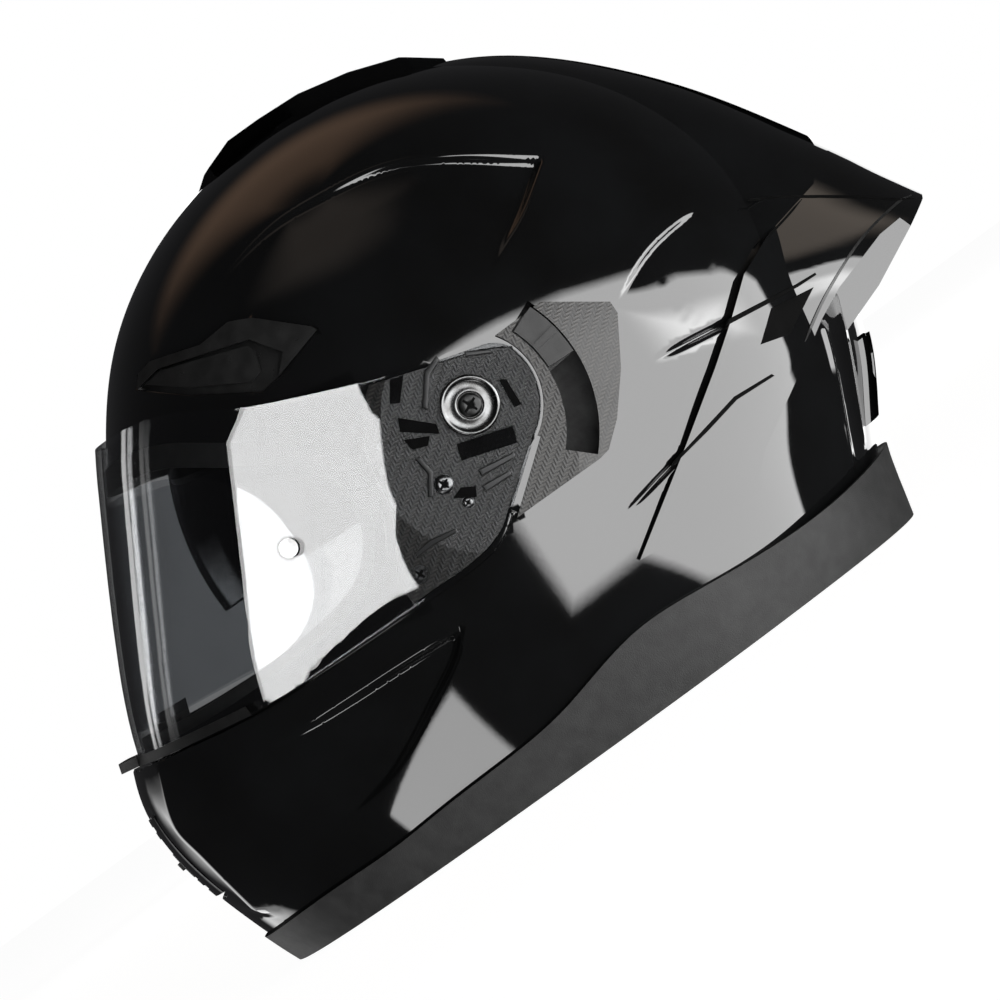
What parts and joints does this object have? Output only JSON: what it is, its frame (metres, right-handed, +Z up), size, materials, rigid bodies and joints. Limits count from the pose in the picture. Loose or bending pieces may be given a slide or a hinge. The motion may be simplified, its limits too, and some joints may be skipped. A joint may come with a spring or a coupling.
{
  "type": "motorcycle helmet",
  "caption": "Full-face motorcycle helmet with a hinged clear visor, an inner sun visor, sliding vents, a rear spoiler and a buckled chin strap.",
  "frame": {"origin": "middle of the footprint, on the plane that the lower rim stands on", "axes": "+Z up; -X towards the face opening, +X towards the spoiler; -Y towards the wearer's left side"},
  "size_m": [0.3573, 0.2546, 0.2524],
  "materials": {
    "shell_gloss": "deep gloss black lacquer",
    "trim_grey": "matt grained moulding",
    "rubber_black": "soft matt black",
    "foam": "beaded foam",
    "pad_fabric": "perforated mesh and brushed knit",
    "webbing": "woven webbing",
    "visor_clear": "clear polycarbonate",
    "visor_edge": "satin black",
    "sun_tint": "dark smoke tint",
    "carbon_look": "twill carbon look, satin",
    "moulded_black": "fine matt grain",
    "bright_metal": "polished",
    "dark_steel": "blackened, brushed"
  },
  "bodies": {
    "shell": {"outer_shell": "shell_gloss", "front_trim": "trim_grey", "rear_trim": "trim_grey", "eyeport_seal": "rubber_black", "impact_liner": "foam", "chin_liner": "foam", "crown_pad": "pad_fabric", "cheek_pad_left": "pad_fabric", "cheek_pad_right": "pad_fabric", "neck_roll": "pad_fabric", "chin_curtain": "pad_fabric", "breath_guard": "rubber_black", "rear_spoiler": "shell_gloss", "rear_fairing": "shell_gloss", "exhaust_vent": "shell_gloss", "top_vent": "shell_gloss", "forehead_vent_left": "shell_gloss", "forehead_vent_right": "shell_gloss", "chin_vent": "shell_gloss", "visor_base_left": "carbon_look", "visor_base_right": "carbon_look", "base_screws_left": "bright_metal", "base_screws_right": "bright_metal", "pivot_ring_left": "bright_metal", "pivot_ring_right": "bright_metal", "pivot_screw_left": "dark_steel", "pivot_screw_right": "dark_steel", "side_cover_left": "carbon_look", "side_cover_right": "carbon_look", "sun_pin_left": "dark_steel", "sun_pin_right": "dark_steel", "chin_strap_left": "webbing", "chin_strap_right": "webbing", "strap_pad_left": "pad_fabric", "strap_pad_right": "pad_fabric", "strap_anchor_left": "bright_metal", "strap_anchor_right": "bright_metal", "latch_spring_left": "dark_steel", "latch_spring_right": "dark_steel", "buckle_frame": "bright_metal", "buckle_pin": "bright_metal", "strap_tongue": "moulded_black"},
    "visor": {"visor": "visor_clear", "visor_tab": "visor_edge", "anti_fog_insert": "visor_clear", "insert_pin_left": "bright_metal", "insert_pin_right": "bright_metal"},
    "sun_visor": {"sun_visor": "sun_tint", "sun_lever": "moulded_black"},
    "crown_slider": {"top_vent_slider": "shell_gloss"},
    "forehead_flap_left": {"forehead_flap_left": "shell_gloss"},
    "forehead_flap_right": {"forehead_flap_right": "shell_gloss"},
    "chin_shutter": {"chin_shutter": "shell_gloss"},
    "release_latch_left": {"release_latch_left": "moulded_black"},
    "release_latch_right": {"release_latch_right": "moulded_black"},
    "buckle_lever": {"buckle_lever": "bright_metal"}
  },
  "joints": [
    {"name": "visor_hinge", "type": "hinge", "parent": "shell", "child": "visor", "pos_m": [0.005, 0, 0.123], "axis": [0, 1, 0], "range_deg": [0, 55]},
    {"name": "sun_visor_hinge", "type": "hinge", "parent": "shell", "child": "sun_visor", "pos_m": [-0.007, 0, 0.12], "axis": [0, 1, 0], "range_deg": [0, 38]},
    {"name": "crown_slider_track", "type": "hinge", "parent": "shell", "child": "crown_slider", "pos_m": [0.005, 0, 0.123], "axis": [0, 1, 0], "range_deg": [0, 3.5]},
    {"name": "forehead_flap_left_track", "type": "hinge", "parent": "shell", "child": "forehead_flap_left", "pos_m": [-0.0148, -0.01566, 0.1371], "axis": [0.5437, 0.1753, 0.8207], "range_deg": [0, 2]},
    {"name": "forehead_flap_right_track", "type": "hinge", "parent": "shell", "child": "forehead_flap_right", "pos_m": [-0.0148, 0.01566, 0.1371], "axis": [-0.5437, 0.1753, -0.8207], "range_deg": [0, 2]},
    {"name": "chin_shutter_slide", "type": "slide", "parent": "shell", "child": "chin_shutter", "axis": [-0.1799, 0, 0.9837], "range_m": [0, 0.0045]},
    {"name": "release_latch_left_slide", "type": "slide", "parent": "shell", "child": "release_latch_left", "axis": [-0.9511, 0, 0.309], "range_m": [0, 0.002], "stiffness_N_per_m": 300, "springref_m": -0.0025, "deforming": ["latch_spring_left"]},
    {"name": "release_latch_right_slide", "type": "slide", "parent": "shell", "child": "release_latch_right", "axis": [-0.9511, 0, 0.309], "range_m": [0, 0.002], "stiffness_N_per_m": 300, "springref_m": -0.0025, "deforming": ["latch_spring_right"]},
    {"name": "buckle_lever_hinge", "type": "hinge", "parent": "shell", "child": "buckle_lever", "pos_m": [-0.034, -0.02, 0.0126], "axis": [1, 0, 0], "range_deg": [0, 60]}
  ]
}
